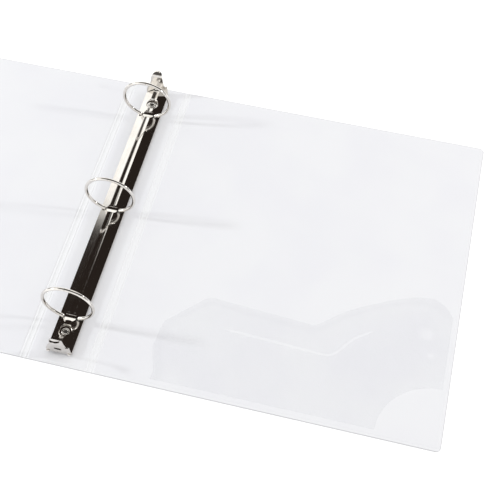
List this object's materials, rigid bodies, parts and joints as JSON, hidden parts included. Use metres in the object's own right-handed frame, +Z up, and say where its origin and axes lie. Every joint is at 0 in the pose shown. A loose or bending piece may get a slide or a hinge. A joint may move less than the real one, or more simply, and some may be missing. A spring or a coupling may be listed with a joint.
{
  "type": "ring binder",
  "caption": "Letter-size ring binder lying open flat: board covers sealed in white vinyl on flexible hinges, clear inside pockets, and a plated ring mechanism with end levers.",
  "frame": {"origin": "centre of the open binder on its underside, below the middle of the spine", "axes": "+X across the open covers towards the back cover, +Y along the spine towards the upper end, +Z up out of the open inside"},
  "size_m": [0.593, 0.2954, 0.051],
  "materials": {
    "outer_vinyl": "soft sheen white vinyl",
    "inner_vinyl": "soft sheen white vinyl",
    "chipboard": "plain grey-brown chipboard",
    "pocket_film": "clear slightly hazy vinyl film",
    "housing_nickel": "bright nickel plate",
    "ring_nickel": "bright nickel plate",
    "plate_steel": "plated steel strip",
    "eyelet_nickel": "bright nickel plate",
    "lever_nickel": "bright nickel plate"
  },
  "bodies": {
    "spine": {"spine_board": "chipboard", "spine_outer_vinyl": "outer_vinyl", "spine_inner_vinyl": "inner_vinyl", "housing": "housing_nickel", "lower_eyelet": "eyelet_nickel", "upper_eyelet": "eyelet_nickel"},
    "front_cover": {"front_board": "chipboard", "front_outer_vinyl": "outer_vinyl", "front_inner_vinyl": "inner_vinyl", "front_pocket": "pocket_film"},
    "back_cover": {"back_board": "chipboard", "back_outer_vinyl": "outer_vinyl", "back_inner_vinyl": "inner_vinyl", "back_pocket": "pocket_film"},
    "left_ring_set": {"left_hinge_plate": "plate_steel", "lower_left_ring": "ring_nickel", "middle_left_ring": "ring_nickel", "upper_left_ring": "ring_nickel"},
    "right_ring_set": {"right_hinge_plate": "plate_steel", "lower_right_ring": "ring_nickel", "middle_right_ring": "ring_nickel", "upper_right_ring": "ring_nickel"},
    "upper_lever": {"upper_lever": "lever_nickel"},
    "lower_lever": {"lower_lever": "lever_nickel"}
  },
  "joints": [
    {"name": "front_cover_hinge", "type": "hinge", "parent": "spine", "child": "front_cover", "pos_m": [-0.0265, 0, 0.0024], "axis": [0, 1, 0], "range_deg": [-90, 90]},
    {"name": "back_cover_hinge", "type": "hinge", "parent": "spine", "child": "back_cover", "pos_m": [0.0265, 0, 0.0024], "axis": [0, -1, 0], "range_deg": [-90, 90]},
    {"name": "left_ring_opening", "type": "hinge", "parent": "spine", "child": "left_ring_set", "pos_m": [-0.00865, 0, 0.0041], "axis": [0, -1, 0], "range_deg": [0, 8.5]},
    {"name": "right_ring_opening", "type": "hinge", "parent": "spine", "child": "right_ring_set", "pos_m": [0.00865, 0, 0.0041], "axis": [0, 1, 0], "range_deg": [0, 8.5]},
    {"name": "upper_lever_pivot", "type": "hinge", "parent": "spine", "child": "upper_lever", "pos_m": [0, 0.134, 0.0041], "axis": [-1, 0, 0], "range_deg": [0, 25]},
    {"name": "lower_lever_pivot", "type": "hinge", "parent": "spine", "child": "lower_lever", "pos_m": [0, -0.134, 0.0041], "axis": [1, 0, 0], "range_deg": [0, 25]}
  ],
  "couplings": [
    {"joint": "right_ring_opening", "follows": "left_ring_opening", "ratio": 1},
    {"joint": "upper_lever_pivot", "follows": "left_ring_opening", "ratio": 2.94},
    {"joint": "lower_lever_pivot", "follows": "left_ring_opening", "ratio": 2.94}
  ]
}
